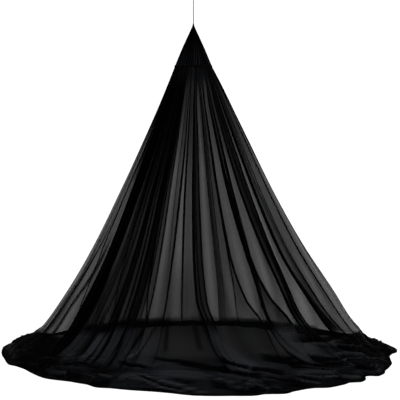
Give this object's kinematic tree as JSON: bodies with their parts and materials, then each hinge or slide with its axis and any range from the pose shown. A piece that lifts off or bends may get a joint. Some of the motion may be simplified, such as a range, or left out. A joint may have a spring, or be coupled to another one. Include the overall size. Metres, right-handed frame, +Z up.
{
  "type": "hanging mosquito net with hoop",
  "caption": "Sheer conical mosquito net that hangs from one cord, is held open near its top by a small hoop and spreads its folds and hem over the floor.",
  "frame": {"origin": "top of the cord's loop, where a ceiling hook holds the net; the floor that the skirt lies on is 2.752 m below", "axes": "+Z up along the cord, +X to the right and -Y towards the viewer who faces the front"},
  "size_m": [3.0427, 2.8974, 2.7518],
  "materials": {
    "netting": "matte",
    "binding": "matte",
    "cord": "satin",
    "rod": "satin"
  },
  "bodies": {
    "root": {"hanging_loop": "cord", "hanging_cord": "cord", "bound_tip": "binding", "top_cone": "netting", "hoop": "rod", "hoop_casing": "binding", "net_body": "netting"}
  },
  "joints": []
}
